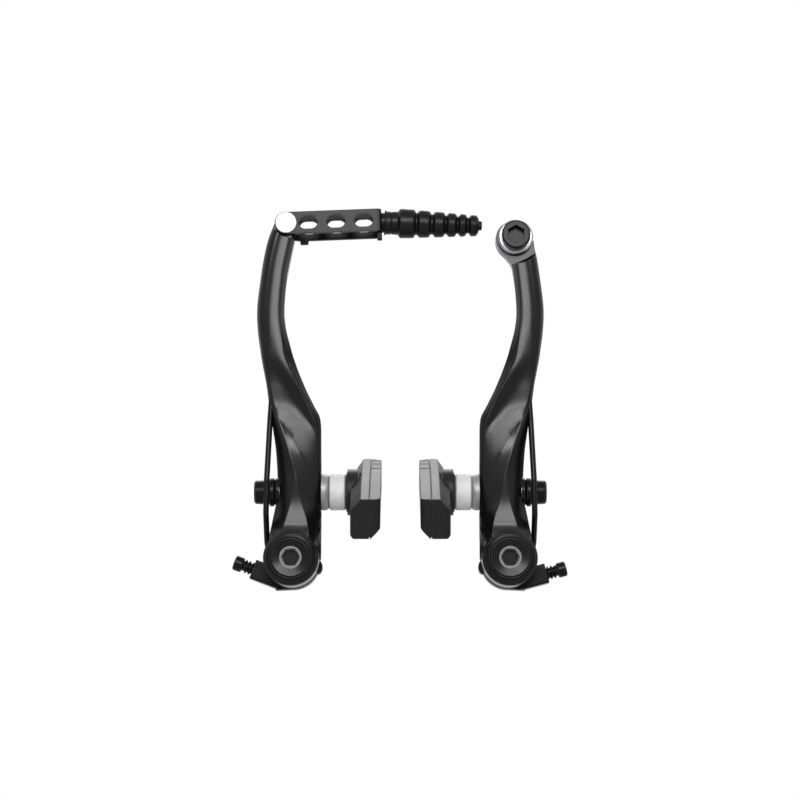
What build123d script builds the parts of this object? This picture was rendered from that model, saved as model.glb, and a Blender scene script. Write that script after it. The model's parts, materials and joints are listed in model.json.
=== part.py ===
import os
from math import cos, sin, radians
from build123d import *

os.makedirs("parts", exist_ok=True)

# Frame: X to the right, Y towards the bicycle frame, Z up.
# The plane y = 0 is the rear seat of both pivot bushes, the pivots lie at z = 0.

# Pivot, millimetres
pivot_half = 33.5
bush_len = 18.5
bush_r = 5.5
stud_bore_r = 4.05
stud_bore_len = 9.0
relief_r = 4.6
run_gap = 0.06
face_gap = 0.3
boss_r = 8.5
boss_back = 9.2
boss_chamfer = 0.5
hex_af = 5.0

# Pivot washer and bolt
washer_r = 7.75
washer_base = 0.7
washer_rim = 1.1
head_r = 6.1
head_h = 1.5
neck_len = 3.4
neck_gap = 0.2
bolt_r = 3.0
socket_depth = 3.2

# Return spring; the leg rises beside the arm, in front of the shoe nut
wire_r = 0.9
coil_gap = 0.4
coil_turns = 2.25
coil_front = 7.7
leg_bend_r = 2.5
leg_fore = 13.5
leg_hook = 12.0
leg_top = 56.0
hook_low = 43.0
hook_gap = 0.3

# Spring holder and tension screw
holder_wall = 0.8
holder_floor = 2.2
holder_depth = 6.2
holder_back = 0.2
holder_gap = 0.1
ring_gap = 0.5
block_half = 3.05
block_len = 9.1
thread_show = 3.5
screw_y = 5.0
screw_rise = 18.0
screw_side = 3.0
screw_head_out = 16.6
screw_head_drop = 1.6
screw_r = 1.55
screw_head_r = 2.35
screw_head_h = 2.8
screw_len = 9.0
stop_r = 1.2
stop_radius = 7.1
stop_angle = 200.0
stop_len = 5.0

# Shoe stack along the stud, from the inner face of the arm towards the wheel
shoe_z = 21.3
shoe_y = 8.0
arm_in = 8.9
arm_out = 3.9
stack_gap = 0.1
arm_dome_h = 2.55
spacer_len = 4.9
spacer_r = 5.6
pad_dome_h = 0.65
pad_boss_r = 7.2
pad_boss_h = 1.4
pad_thick = 9.0
rubber_thick = 3.1
outer_dome_h = 1.6
outer_cup_h = 1.4
outer_r = 4.45
nut_len = 4.8
nut_r = 3.9
stud_r = 3.0
stud_gap = 0.1
stud_in_pad = 3.0
stud_in_nut = 1.5
slot_travel = 6.0

# Brake pad
pad_near = 35.0
pad_far = 31.0
pad_high = 12.0
pad_rise = 0.6
pad_round = 1.6
pad_arc_r = 300.0
pad_turn = 17.5

# Link, from its pin
pin_out = 2.3
pin_z = 105.4
mid_y = 9.65
link_wide = 9.7
link_thick = 1.5
link_high = 7.0
link_rear_high = 8.2
link_long = 29.9
link_end_r = 3.55
window_first = 6.9
window_inset = 5.6
window_long = 6.0
window_high = 4.3
tab_along = 5.3
link_tilt = 2.2
link_pin_r = 2.0
pin_head_r = 3.25
pin_head_h = 1.0
tongue_r = 4.1
tongue_gap = 0.25
link_clear = 0.75
noodle_r = 2.55
noodle_slot = 2.4
boot_gap = 4.25
boot_free = 31.6

# Cable clamp
clamp_out = 2.6
clamp_below_pin = 4.2
eye_r = 5.7
eye_in = 0.45
eye_drop = 0.2
eye_front = 11.2
eye_back = 5.6
clamp_washer_r = 5.5
clamp_washer_h = 2.3
clamp_head_r = 4.5
clamp_head_h = 4.1
clamp_r = 3.0
clamp_gap = 0.08
clamp_recess = 2.9

boss_front = bush_len - face_gap
hex_r = hex_af / 2
coil_r = bush_r + wire_r + coil_gap
holder_in_r = coil_r + wire_r + holder_gap
holder_r = holder_in_r + holder_wall
coil_high = coil_front - holder_back - holder_floor - wire_r - 0.02
arm_inner = pivot_half - arm_in
arm_outer = pivot_half + arm_out
dome_in = arm_inner - stack_gap
dome_out = arm_outer + stack_gap
spacer_out = dome_in - arm_dome_h
spacer_in = spacer_out - spacer_len
pad_seat = spacer_in - pad_dome_h
pad_back = pad_seat - pad_boss_h
pad_face = pad_back - pad_thick
rubber_line = pad_face + rubber_thick
cup_in = dome_out + outer_dome_h
cup_out = cup_in + outer_cup_h
nut_out = cup_out + nut_len
pin_x = pivot_half + pin_out
link_front = mid_y + link_wide / 2
link_rear = mid_y - link_wide / 2
tongue_front = link_front - link_thick - tongue_gap
tongue_rear = link_rear + link_thick + tongue_gap
clamp_x = pivot_half + clamp_out
clamp_z = pin_z - clamp_below_pin
window_last = link_long - window_inset
boot_len = pin_x - link_long + clamp_x - eye_in - eye_r - boot_gap

# Plane whose normal points to the viewer, for outlines seen from the front
def front_plane(depth):
    return Plane(origin=(0, -depth, 0), x_dir=(1, 0, 0), z_dir=(0, -1, 0))


# Plane through an axis along X, normal towards the left
def side_plane(x, y, z):
    return Plane(origin=(x, y, z), x_dir=(0, -1, 0), z_dir=(-1, 0, 0))


# Way of the spring leg: out of the coil, forwards past the shoe nut, back to its hole in the arm
leg_points = [
    Vector(-pivot_half - coil_r - out, -depth, height)
    for out, depth, height in (
        (0.0, coil_front, 0.0), (1.0, coil_front, 6.0), (1.1, leg_fore, 14.0), (0.95, leg_fore, 24.5),
        (0.15, leg_hook, hook_low), (-0.7, leg_hook, leg_top),
    )
]
hook_way = (leg_points[5] - leg_points[4]).normalized()

# Sections of the left arm blade, from the pivot up. Each has its height, the depth of its back,
# and seven front points as (outwards from the pivot, depth): outer edge, three crease points,
# valley, ridge and inner edge.
low_depth = boss_front - 1.0
rise_depth = boss_front - 1.6
blade_sections = [
    (0.0, 9.4, [(7.1, 12.0), (3.4, low_depth), (-5.6, low_depth), (-7.4, 15.2), (-8.1, 14.0),
                       (-8.6, 12.8), (-9.1, 11.8)]),
    (6.0, 9.4, [(7.0, 11.6), (3.1, rise_depth), (-5.5, rise_depth), (-7.5, 14.2), (-8.2, 13.2),
                       (-8.7, 12.2), (-9.1, 11.4)]),
    (11.4, 6.8, [(6.1, 11.0), (1.9, 15.2), (-4.8, 15.2), (-7.6, 13.0), (-8.2, 12.3), (-8.7, 11.7),
                        (-9.1, 11.0)]),
    (18.0, 2.6, [(4.9, 10.9), (0.1, 14.9), (-2.7, 14.9), (-7.4, 12.8), (-8.1, 12.3), (-8.6, 11.8),
                        (-9.05, 11.2)]),
    (25.0, 2.2, [(4.5, 11.0), (-1.0, 15.1), (-1.45, 15.1), (-6.3, 13.2), (-7.8, 12.7), (-8.4, 12.2),
                        (-9.0, 11.5)]),
    (33.0, 2.4, [(4.95, 11.3), (0.9, 15.0), (0.5, 15.0), (-2.5, 13.9), (-7.7, 13.0), (-8.3, 12.5),
                        (-8.95, 11.8)]),
    (40.0, 3.0, [(5.9, 11.6), (3.25, 14.4), (2.85, 14.4), (1.3, 14.0), (-6.3, 13.2), (-7.8, 13.0),
                        (-8.9, 12.0)]),
    (43.5, 3.3, [(6.45, 11.8), (4.6, 13.9), (4.2, 13.95), (3.5, 13.9), (-4.3, 13.3), (-6.8, 13.7),
                        (-8.65, 12.0)]),
    (48.0, 3.8, [(7.2, 11.9), (6.4, 12.9), (6.0, 13.2), (5.5, 13.4), (-1.6, 13.4), (-4.8, 14.1),
                        (-6.55, 12.0)]),
    (54.0, 4.2, [(8.05, 11.9), (7.6, 12.7), (7.3, 13.0), (6.9, 13.3), (2.2, 13.5), (-1.6, 14.3),
                       (-3.65, 12.0)]),
    (64.5, 4.6, [(10.0, 11.8), (9.5, 12.9), (9.1, 13.35), (8.6, 13.7), (7.0, 14.1), (2.9, 14.25),
                       (0.25, 11.8)]),
]
# The upper sections, an even crown, are measured down from the link pin: height, outer and inner edge
upper_sections = [
    (28.4, 11.25, 2.8), (16.4, 10.1, 2.0), (8.0, 8.75, 0.4), (3.0, 7.4, -0.6), (-3.2, 5.0, -1.9),
]
for below_pin, outer, inner in upper_sections:
    reach = (outer - inner) / 8.5
    crown = [
        (outer, 11.6), (outer - 0.7 * reach, 12.85), (outer - 1.5 * reach, 13.65), (outer - 2.6 * reach, 14.2),
        (outer - 4.1 * reach, 14.4), (inner + 1.9 * reach, 13.7), (inner, 11.7),
    ]
    blade_sections.append((pin_z - below_pin, 4.8, crown))

with BuildPart() as blade:
    for height, back, front in blade_sections:
        outer = front[0][0]
        inner = front[-1][0]
        ring = [(outer - 1.6, back), (outer - 0.2, back + 1.6)] + front
        ring = ring + [(inner + 0.1, back + 1.5), (inner + 1.4, back)]
        with BuildSketch(Plane.XY.offset(height)):
            with BuildLine():
                Polyline(*[(-pivot_half - out, -depth) for out, depth in ring], close=True)
            make_face()
    loft()

with BuildPart() as arm_core:
    add(blade.part)
    with BuildSketch(front_plane(boss_back)):
        with Locations((-pivot_half, 0)):
            Circle(boss_r)
    extrude(amount=boss_front - boss_back)
    rim = arm_core.edges().filter_by(GeomType.CIRCLE).group_by(Axis.Y)[0]
    chamfer(rim, boss_chamfer)
    # Shoe slot with a flat seat on either side
    with BuildSketch(side_plane(0, -shoe_y, shoe_z)):
        SlotCenterToCenter(slot_travel, 2 * stud_r + 0.5, rotation=90)
    extrude(amount=60, mode=Mode.SUBTRACT)
    with BuildSketch(side_plane(-arm_inner, -shoe_y, shoe_z)):
        Circle(spacer_r + 1.2)
    extrude(amount=-10, mode=Mode.SUBTRACT)
    with BuildSketch(side_plane(-arm_outer, -shoe_y, shoe_z)):
        Circle(outer_r + 0.5)
    extrude(amount=10, mode=Mode.SUBTRACT)
    # Hole in the shoulder for the tip of the spring leg
    with BuildSketch(Plane(origin=leg_points[4] - 3 * hook_way, x_dir=(0, 1, 0), z_dir=hook_way)):
        Circle(wire_r + hook_gap)
    extrude(amount=leg_top - hook_low + 4.0, mode=Mode.SUBTRACT)
    # Running bore of the boss and the free ring behind it
    with BuildSketch(front_plane(-5)):
        with Locations((-pivot_half, 0)):
            Circle(bush_r + run_gap)
    extrude(amount=40, mode=Mode.SUBTRACT)
    with BuildSketch(front_plane(boss_back)):
        with Locations((-pivot_half, 0)):
            Circle(holder_r + ring_gap)
    extrude(amount=-20, mode=Mode.SUBTRACT)

with BuildPart() as left_arm:
    add(arm_core.part)
    # Recesses for the ends of the link plates, in front of and behind the tongue
    recess_r = link_end_r + link_clear
    for depth, amount in ((tongue_front, 10), (tongue_rear, -10)):
        with BuildSketch(front_plane(depth)):
            with Locations((-pin_x, pin_z)):
                Circle(recess_r)
            with BuildLine():
                Polyline(
                    (-pin_x, pin_z + 20), (-pin_x, pin_z - recess_r), (-pin_x + 4, pin_z - recess_r - 0.85),
                    (-pin_x + 16, pin_z - recess_r - 4), (-pin_x + 16, pin_z + 20), close=True,
                )
            make_face()
        extrude(amount=amount, mode=Mode.SUBTRACT)
    # Rounded end of the tongue
    with BuildSketch(front_plane(0)):
        with Locations((-pin_x, pin_z + 10)):
            Rectangle(30, 20)
        with Locations((-pin_x, pin_z)):
            Circle(tongue_r, mode=Mode.SUBTRACT)
    extrude(amount=30, mode=Mode.SUBTRACT)
    with BuildSketch(front_plane(0)):
        with Locations((-pin_x, pin_z)):
            Circle(link_pin_r + run_gap)
    extrude(amount=30, mode=Mode.SUBTRACT)
left_arm.part.label = "left_arm"

with BuildPart() as right_arm:
    mirror(arm_core.part, about=Plane.YZ)
    # Everything above the eye comes off, then the recess round the clamp
    with BuildSketch(front_plane(0)):
        with Locations((clamp_x, clamp_z + 10)):
            Rectangle(30, 20)
    extrude(amount=30, mode=Mode.SUBTRACT)
    with BuildSketch(front_plane(eye_front)):
        with Locations((clamp_x, clamp_z)):
            Circle(eye_r + clamp_recess)
    extrude(amount=10, mode=Mode.SUBTRACT)
    with BuildSketch(front_plane(eye_back)):
        with Locations((clamp_x - eye_in, clamp_z - eye_drop)):
            Circle(eye_r)
        # Neck that runs from the eye into the arm
        neck = [
            (-0.1, -12.7), (-0.7, -9.3), (-1.7, -7.3), (-3.05, -5.6), (-4.6, -4.1), (0, 0),
            (5.7, -0.8), (6.1, -4.0), (6.3, -7.0), (6.5, -12.7),
        ]
        with BuildLine():
            Polyline(*[(clamp_x + across, clamp_z + up) for across, up in neck], close=True)
        make_face()
    extrude(amount=eye_front - eye_back)
    with BuildSketch(front_plane(0)):
        with Locations((clamp_x, clamp_z)):
            Circle(clamp_r + clamp_gap)
    extrude(amount=30, mode=Mode.SUBTRACT)
right_arm.part.label = "right_arm"

# Pivot bush: rear stretch fits the frame's stud, front stretch is relieved for the bolt
with BuildPart() as left_pivot_bush:
    with BuildSketch(front_plane(0)):
        with Locations((-pivot_half, 0)):
            Circle(bush_r)
            Circle(stud_bore_r, mode=Mode.SUBTRACT)
    extrude(amount=bush_len)
    with BuildSketch(front_plane(stud_bore_len)):
        with Locations((-pivot_half, 0)):
            Circle(relief_r)
    extrude(amount=bush_len, mode=Mode.SUBTRACT)
left_pivot_bush.part.label = "left_pivot_bush"

# Profiles in the half plane through the pivot axis: radius, depth in front of the seat
half_plane = Plane(origin=(-pivot_half, 0, 0), x_dir=(1, 0, 0), z_dir=(0, 0, 1))
pivot_axis = Axis((-pivot_half, 0, 0), (0, 1, 0))
washer_seat = bush_len + washer_base
with BuildPart() as left_pivot_washer:
    with BuildSketch(half_plane):
        with BuildLine():
            Polyline(
                (relief_r, -bush_len), (washer_r, -bush_len), (washer_r, -washer_seat - washer_rim + 0.5),
                (washer_r - 0.45, -washer_seat - washer_rim), (head_r + neck_gap, -washer_seat - washer_rim - 0.25),
                (head_r + neck_gap, -washer_seat), (relief_r, -washer_seat), close=True,
            )
        make_face()
    revolve(axis=pivot_axis)
left_pivot_washer.part.label = "left_pivot_washer"

with BuildPart() as left_pivot_bolt:
    with BuildSketch(half_plane):
        with BuildLine():
            Polyline(
                (0, -washer_seat - head_h + 0.35), (hex_r + 0.9, -washer_seat - head_h + 0.35),
                (head_r - 0.3, -washer_seat - head_h), (head_r, -washer_seat - head_h + 0.3),
                (head_r, -washer_seat), (relief_r - neck_gap, -washer_seat),
                (relief_r - neck_gap, -washer_seat + neck_len), (bolt_r, -washer_seat + neck_len + 0.8),
                (bolt_r, -stud_bore_len - 1.0), (bolt_r - 0.5, -stud_bore_len - 0.5),
                (0, -stud_bore_len - 0.5), close=True,
            )
        make_face()
    revolve(axis=pivot_axis)
    with BuildSketch(front_plane(washer_seat + head_h)):
        with Locations((-pivot_half, 0)):
            RegularPolygon(hex_r, 6, major_radius=False, rotation=0)
    extrude(amount=-socket_depth, mode=Mode.SUBTRACT)
    with BuildSketch(front_plane(washer_seat + head_h)):
        with Locations((-pivot_half, 0)):
            Circle(hex_r + 0.75)
    extrude(amount=-0.95, taper=45, mode=Mode.SUBTRACT)
left_pivot_bolt.part.label = "left_pivot_bolt"

# Return spring: coil round the bush, leg up the outer side of the arm
coil_plane = Plane(origin=(-pivot_half, -coil_front, 0), x_dir=(-1, 0, 0), z_dir=(0, 1, 0))
with BuildPart() as coil:
    with BuildLine():
        coil_path = Helix(coil_high / coil_turns, coil_high, coil_r, lefthand=True)
    with BuildSketch(Plane(origin=coil_path @ 0, z_dir=coil_path % 0)):
        Circle(wire_r)
    sweep(path=coil_path, is_frenet=True)
placed_coil = coil_plane.location * coil.part

with BuildPart() as left_return_spring:
    add(placed_coil)
    with Locations(leg_points[0]):
        Sphere(wire_r + 0.05)
    with BuildLine() as leg_line:
        FilletPolyline(*leg_points, radius=leg_bend_r)
    with BuildSketch(Plane(origin=leg_line.line @ 0, z_dir=leg_line.line % 0)):
        Circle(wire_r)
    sweep(path=leg_line.line)
left_return_spring.part.label = "left_return_spring"


# Spring holder with the block for the tension screw; turn sets the block a little higher or lower
def screw_frame(turn):
    a = radians(turn)
    out = screw_head_out * cos(a) + screw_head_drop * sin(a)
    up = screw_head_out * sin(a) - screw_head_drop * cos(a)
    rise = radians(screw_rise + turn)
    return Plane(
        origin=(-pivot_half - out, -screw_y, up),
        x_dir=(0, 1, 0),
        z_dir=(-cos(rise), 0, sin(rise)),
    )


stop_centre = (
    -pivot_half + stop_radius * cos(radians(stop_angle)),
    stop_radius * sin(radians(stop_angle)),
)
with BuildPart() as holder_cup:
    with BuildSketch(front_plane(holder_back)):
        with Locations((-pivot_half, 0)):
            Circle(holder_r)
    extrude(amount=holder_depth)
    with BuildSketch(front_plane(holder_back + holder_floor)):
        with Locations((-pivot_half, 0)):
            Circle(holder_in_r)
    extrude(amount=20, mode=Mode.SUBTRACT)
    with BuildSketch(front_plane(0)):
        with Locations((-pivot_half, 0)):
            Circle(bush_r + 0.05)
    extrude(amount=20, mode=Mode.SUBTRACT)
    # Way out for the leg
    with BuildSketch(front_plane(holder_back + holder_floor)):
        with Locations((-pivot_half - holder_r, 4.5)):
            Rectangle(8, 8.5)
    extrude(amount=20, mode=Mode.SUBTRACT)


def build_holder(turn, name):
    frame = screw_frame(turn)
    with BuildPart() as holder:
        add(holder_cup.part)
        with BuildSketch(frame.offset(-screw_head_h / 2 - thread_show)):
            RectangleRounded(2 * block_half + 0.2, 2 * block_half, 0.6)
        extrude(amount=-block_len)
        # Web that runs the block's lower corner into the round bottom
        with BuildSketch(front_plane(holder_back)):
            with BuildLine():
                Polyline(
                    (-pivot_half - 5.2, -holder_r - 0.2), (-pivot_half, -holder_r), (-pivot_half, -holder_in_r),
                    (-pivot_half - 5.2, -4.5), close=True,
                )
            make_face()
        extrude(amount=holder_depth - 1.5)
        # Thin strap that shows beside the boss on the wheel side
        with BuildSketch(front_plane(holder_back)):
            with Locations((-pivot_half + holder_r - 0.8, -1.6)):
                Ellipse(1.5, 2.2)
        extrude(amount=holder_depth - 1.5)
        with BuildSketch(front_plane(holder_back + holder_floor)):
            with Locations((-pivot_half, 0)):
                Circle(holder_in_r)
        extrude(amount=20, mode=Mode.SUBTRACT)
        with BuildSketch(frame):
            Circle(screw_r + run_gap)
        extrude(amount=-screw_len - 1.2, mode=Mode.SUBTRACT)
        with BuildSketch(front_plane(0)):
            with Locations((-pivot_half, 0)):
                Circle(bush_r + 0.05)
            with Locations(stop_centre):
                Circle(stop_r)
        extrude(amount=holder_back + holder_floor, mode=Mode.SUBTRACT)
    holder.part.label = name
    return holder.part


def build_screw(turn, name):
    frame = screw_frame(turn)
    with BuildPart() as screw:
        with BuildSketch(frame.offset(-screw_head_h / 2)):
            Circle(screw_head_r)
        extrude(amount=screw_head_h)
        chamfer(screw.edges().filter_by(GeomType.CIRCLE), 0.35)
        with BuildSketch(frame.offset(-screw_head_h / 2)):
            Circle(screw_r)
        extrude(amount=-screw_len + screw_head_h / 2)
        # Cross recess
        with BuildSketch(frame.offset(screw_head_h / 2)):
            Rectangle(2.8, 0.7)
            Rectangle(0.7, 2.8)
        extrude(amount=-1.2, mode=Mode.SUBTRACT)
    screw.part.label = name
    return screw.part


left_spring_holder = build_holder(screw_side, "left_spring_holder")
right_spring_holder_base = build_holder(-screw_side, "right_spring_holder_base")
left_tension_screw = build_screw(screw_side, "left_tension_screw")
right_tension_screw_base = build_screw(-screw_side, "right_tension_screw_base")

with BuildPart() as left_stopper_pin:
    with BuildSketch(front_plane(holder_back + holder_floor)):
        with Locations(stop_centre):
            Circle(stop_r)
    extrude(amount=-(holder_back + holder_floor + stop_len))
    chamfer(left_stopper_pin.edges().group_by(Axis.Y)[-1], 0.4)
left_stopper_pin.part.label = "left_stopper_pin"

# Brake shoe stack along the stud
stud_axis = Axis((0, -shoe_y, shoe_z), (1, 0, 0))
stack_plane = Plane(origin=(0, -shoe_y, shoe_z), x_dir=(-1, 0, 0), z_dir=(0, 1, 0))
turned = Plane(
    origin=(0, -shoe_y, shoe_z),
    x_dir=(0, -cos(radians(pad_turn)), -sin(radians(pad_turn))),
    z_dir=(-1, 0, 0),
)
turned_top = Plane(
    origin=(0, -shoe_y, shoe_z),
    x_dir=(0, cos(radians(pad_turn)), sin(radians(pad_turn))),
    z_dir=(0, -sin(radians(pad_turn)), cos(radians(pad_turn))),
)
pad_top = pad_rise + pad_high / 2
pad_low = pad_rise - pad_high / 2
dip_near = pad_near**2 / (2 * pad_arc_r)
dip_far = pad_far**2 / (2 * pad_arc_r)
# Side outline of the pad: a band bent to the rim's radius, the viewer's end at positive values
with BuildSketch() as pad_band:
    with BuildLine():
        ThreePointArc((pad_near, pad_top - dip_near), (0, pad_top), (-pad_far, pad_top - dip_far))
        Line((-pad_far, pad_top - dip_far), (-pad_far, pad_low - dip_far))
        ThreePointArc((-pad_far, pad_low - dip_far), (0, pad_low), (pad_near, pad_low - dip_near))
        Line((pad_near, pad_low - dip_near), (pad_near, pad_top - dip_near))
    make_face()

with BuildPart() as left_brake_pad:
    with BuildSketch(turned.offset(pad_face)):
        add(pad_band.sketch)
    extrude(amount=pad_thick)
    # Bevels: long on the upper back edge, small on the lower back edge, wide on the lower rubber edge
    back_edges = left_brake_pad.edges().filter_by(GeomType.CIRCLE).group_by(Axis.X)[0].sort_by(Axis.Z)
    chamfer(back_edges[1], 3.2, 3.6)
    low_back = left_brake_pad.edges().filter_by(GeomType.CIRCLE).group_by(Axis.X)[0].sort_by(Axis.Z)[0]
    chamfer(low_back, 0.8)
    low_face = left_brake_pad.edges().filter_by(GeomType.CIRCLE).group_by(Axis.X)[-1].sort_by(Axis.Z)[0]
    chamfer(low_face, rubber_line - pad_face - 0.2)
    # Far end: the back thins away and the braking side is cut back; near end: rounded corners
    with BuildSketch(turned_top):
        with BuildLine():
            Polyline(
                (14, pad_back), (24, pad_back - 1.8), (27, pad_back - 2.6), (pad_far, pad_back - 3.6),
                (pad_far + 2, pad_back - 4), (pad_far + 2, pad_back + 1), (14, pad_back + 1), close=True,
            )
        make_face()
        with BuildLine():
            Polyline(
                (pad_far - 6, pad_face - 0.1), (pad_far + 1, rubber_line + 0.6), (pad_far + 1, pad_face - 0.1),
                close=True,
            )
        make_face()
        with Locations((-pad_near, pad_back), (-pad_near, pad_face)):
            Rectangle(2 * pad_round, 2 * pad_round)
        with Locations((-pad_near + pad_round, pad_back - pad_round), (-pad_near + pad_round, pad_face + pad_round)):
            Circle(pad_round, mode=Mode.SUBTRACT)
    extrude(amount=30, both=True, mode=Mode.SUBTRACT)
    # Round seat for the washers
    with BuildSketch(turned.offset(pad_back - 2.0)):
        Circle(pad_boss_r)
    extrude(amount=2.0 + pad_boss_h)
    # Parting line between the carrier and the rubber
    with BuildSketch(turned.offset(rubber_line)):
        add(pad_band.sketch)
        offset(amount=-0.35, mode=Mode.SUBTRACT)
    extrude(amount=0.3, mode=Mode.SUBTRACT)
    # Three slanted grooves across the far half of the rubber
    with BuildSketch(turned.offset(pad_face - 1)):
        for along in (5.0, 14.5, 24.0):
            with Locations((-along, pad_top - 1.0)):
                Rectangle(1.1, 7.0, rotation=12)
    extrude(amount=rubber_line - pad_face + 1, mode=Mode.SUBTRACT)
    with BuildSketch(turned.offset(pad_back - stud_in_pad)):
        Circle(stud_r)
    extrude(amount=40, mode=Mode.SUBTRACT)
left_brake_pad.part.label = "left_brake_pad"

with BuildPart() as left_pad_stud:
    with BuildSketch(side_plane(-(pad_back - stud_in_pad), -shoe_y, shoe_z)):
        Circle(stud_r)
    extrude(amount=cup_out + stud_in_nut - pad_back + stud_in_pad)
    chamfer(left_pad_stud.edges().group_by(Axis.X)[0], 0.4)
left_pad_stud.part.label = "left_pad_stud"

with BuildPart() as left_pad_dome:
    with BuildSketch(stack_plane):
        with BuildLine():
            Polyline(
                (pad_seat, stud_r + stud_gap), (pad_seat, spacer_r + 0.6),
                (pad_seat + 0.25, spacer_r + 0.6), (spacer_in, spacer_r - 0.4),
                (spacer_in, stud_r + stud_gap), close=True,
            )
        make_face()
    revolve(axis=stud_axis)
left_pad_dome.part.label = "left_pad_dome"

with BuildPart() as left_pad_spacer:
    with BuildSketch(stack_plane):
        with BuildLine():
            Polyline(
                (spacer_in, stud_r + stud_gap), (spacer_in, spacer_r - 0.35), (spacer_in + 0.35, spacer_r),
                (spacer_out - 0.35, spacer_r), (spacer_out, spacer_r - 0.35), (spacer_out, stud_r + stud_gap),
                close=True,
            )
        make_face()
    revolve(axis=stud_axis)
left_pad_spacer.part.label = "left_pad_spacer"

with BuildPart() as left_arm_dome:
    with BuildSketch(stack_plane):
        with BuildLine():
            Line((spacer_out, stud_r + stud_gap), (spacer_out, spacer_r - 0.9))
            ThreePointArc(
                (spacer_out, spacer_r - 0.9), (spacer_out + 0.75, spacer_r - 0.15), (spacer_out + 1.6, spacer_r + 0.05),
            )
            Polyline(
                (spacer_out + 1.6, spacer_r + 0.05), (dome_in, spacer_r + 0.05), (dome_in, stud_r + stud_gap),
                (spacer_out, stud_r + stud_gap),
            )
        make_face()
    revolve(axis=stud_axis)
left_arm_dome.part.label = "left_arm_dome"

with BuildPart() as left_outer_dome:
    with BuildSketch(stack_plane):
        with BuildLine():
            Polyline(
                (dome_out, stud_r + stud_gap), (dome_out, outer_r), (dome_out + 0.9, outer_r),
                (cup_in, outer_r - 0.7), (cup_in, stud_r + stud_gap), close=True,
            )
        make_face()
    revolve(axis=stud_axis)
left_outer_dome.part.label = "left_outer_dome"

with BuildPart() as left_outer_cup:
    with BuildSketch(stack_plane):
        with BuildLine():
            Polyline(
                (cup_in, stud_r + stud_gap), (cup_in, outer_r - 0.25),
                (cup_in + 0.25, outer_r), (cup_out - 0.2, outer_r), (cup_out, outer_r - 0.2),
                (cup_out, stud_r + stud_gap), close=True,
            )
        make_face()
    revolve(axis=stud_axis)
left_outer_cup.part.label = "left_outer_cup"

with BuildPart() as left_shoe_nut:
    with BuildSketch(stack_plane):
        with BuildLine():
            Polyline(
                (cup_out, 0), (cup_out, nut_r), (nut_out - 0.5, nut_r - 0.25), (nut_out, nut_r - 0.75),
                (nut_out, 0), close=True,
            )
        make_face()
    revolve(axis=stud_axis)
    with BuildSketch(side_plane(-nut_out, -shoe_y, shoe_z)):
        RegularPolygon(hex_r, 6, major_radius=False)
    extrude(amount=-(nut_len - stud_in_nut - 0.4), mode=Mode.SUBTRACT)
    with BuildSketch(side_plane(-cup_out, -shoe_y, shoe_z)):
        Circle(stud_r)
    extrude(amount=stud_in_nut + 0.4, mode=Mode.SUBTRACT)
left_shoe_nut.part.label = "left_shoe_nut"

# Cable link: strip folded round the end, open above and below
tilt = radians(link_tilt)
link_plane = Plane(origin=(-pin_x, -mid_y, pin_z), x_dir=(cos(tilt), 0, sin(tilt)), z_dir=(0, -1, 0))
link_top = Plane(origin=(-pin_x, -mid_y, pin_z), x_dir=(cos(tilt), 0, sin(tilt)), z_dir=(-sin(tilt), 0, cos(tilt)))
link_end = Plane(
    origin=(-pin_x + link_long * cos(tilt), -mid_y, pin_z + link_long * sin(tilt)),
    x_dir=(0, 1, 0),
    z_dir=(cos(tilt), 0, sin(tilt)),
)
link_half = link_wide / 2
with BuildPart() as link_bracket:
    with BuildSketch(link_top):
        with BuildLine():
            Polyline(
                (-10, -link_half), (link_long, -link_half), (link_long, link_half), (-10, link_half),
                (-10, link_half - link_thick), (link_long - link_thick, link_half - link_thick),
                (link_long - link_thick, -link_half + link_thick), (-10, -link_half + link_thick), close=True,
            )
        make_face()
    extrude(amount=link_rear_high, both=True)
    corner = link_bracket.edges().filter_by(Axis((0, 0, 0), (-sin(tilt), 0, cos(tilt)))).group_by(Axis.X)[-1]
    fillet(corner, link_thick)
    # Outline of the plates; the front one is trimmed lower than the rear one
    with BuildSketch(link_plane):
        Circle(link_end_r)
        with BuildLine():
            Polyline(
                (0, link_end_r), (4, link_rear_high / 2), (link_long + 5, link_rear_high / 2),
                (link_long + 5, -link_rear_high / 2), (4, -link_rear_high / 2), (0, -link_end_r), close=True,
            )
        make_face()
    extrude(amount=30, both=True, mode=Mode.INTERSECT)
    with BuildSketch(link_plane):
        with Locations((link_long / 2, link_high), (link_long / 2, -link_high)):
            Rectangle(2 * link_long, link_high)
    extrude(amount=30, mode=Mode.SUBTRACT)
    # Tab under the rear plate near the pin, and the lip under the end plate
    with BuildSketch(link_plane.offset(-link_half)):
        with Locations((tab_along, -link_rear_high / 2 - 0.1)):
            RectangleRounded(2.6, 2.2, 0.4)
    extrude(amount=link_thick)
    with BuildSketch(link_end):
        with Locations((0, -link_rear_high / 2)):
            Rectangle(link_wide - 4.5, 2.2)
    extrude(amount=-link_thick)
    # Stadium windows through both plates
    with BuildSketch(link_plane):
        for along in (window_first, (window_first + window_last) / 2, window_last):
            with Locations((along, 0.05)):
                SlotOverall(window_long, window_high)
    extrude(amount=30, both=True, mode=Mode.SUBTRACT)
    # Keyhole of the guide tube
    with BuildSketch(link_end.offset(1)):
        Circle(noodle_r)
        with Locations((0, -5)):
            Rectangle(noodle_slot, 10)
    extrude(amount=-link_thick - 2, mode=Mode.SUBTRACT)
    with BuildSketch(link_plane):
        Circle(link_pin_r)
    extrude(amount=30, both=True, mode=Mode.SUBTRACT)
link_bracket.part.label = "link_bracket"

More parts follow.
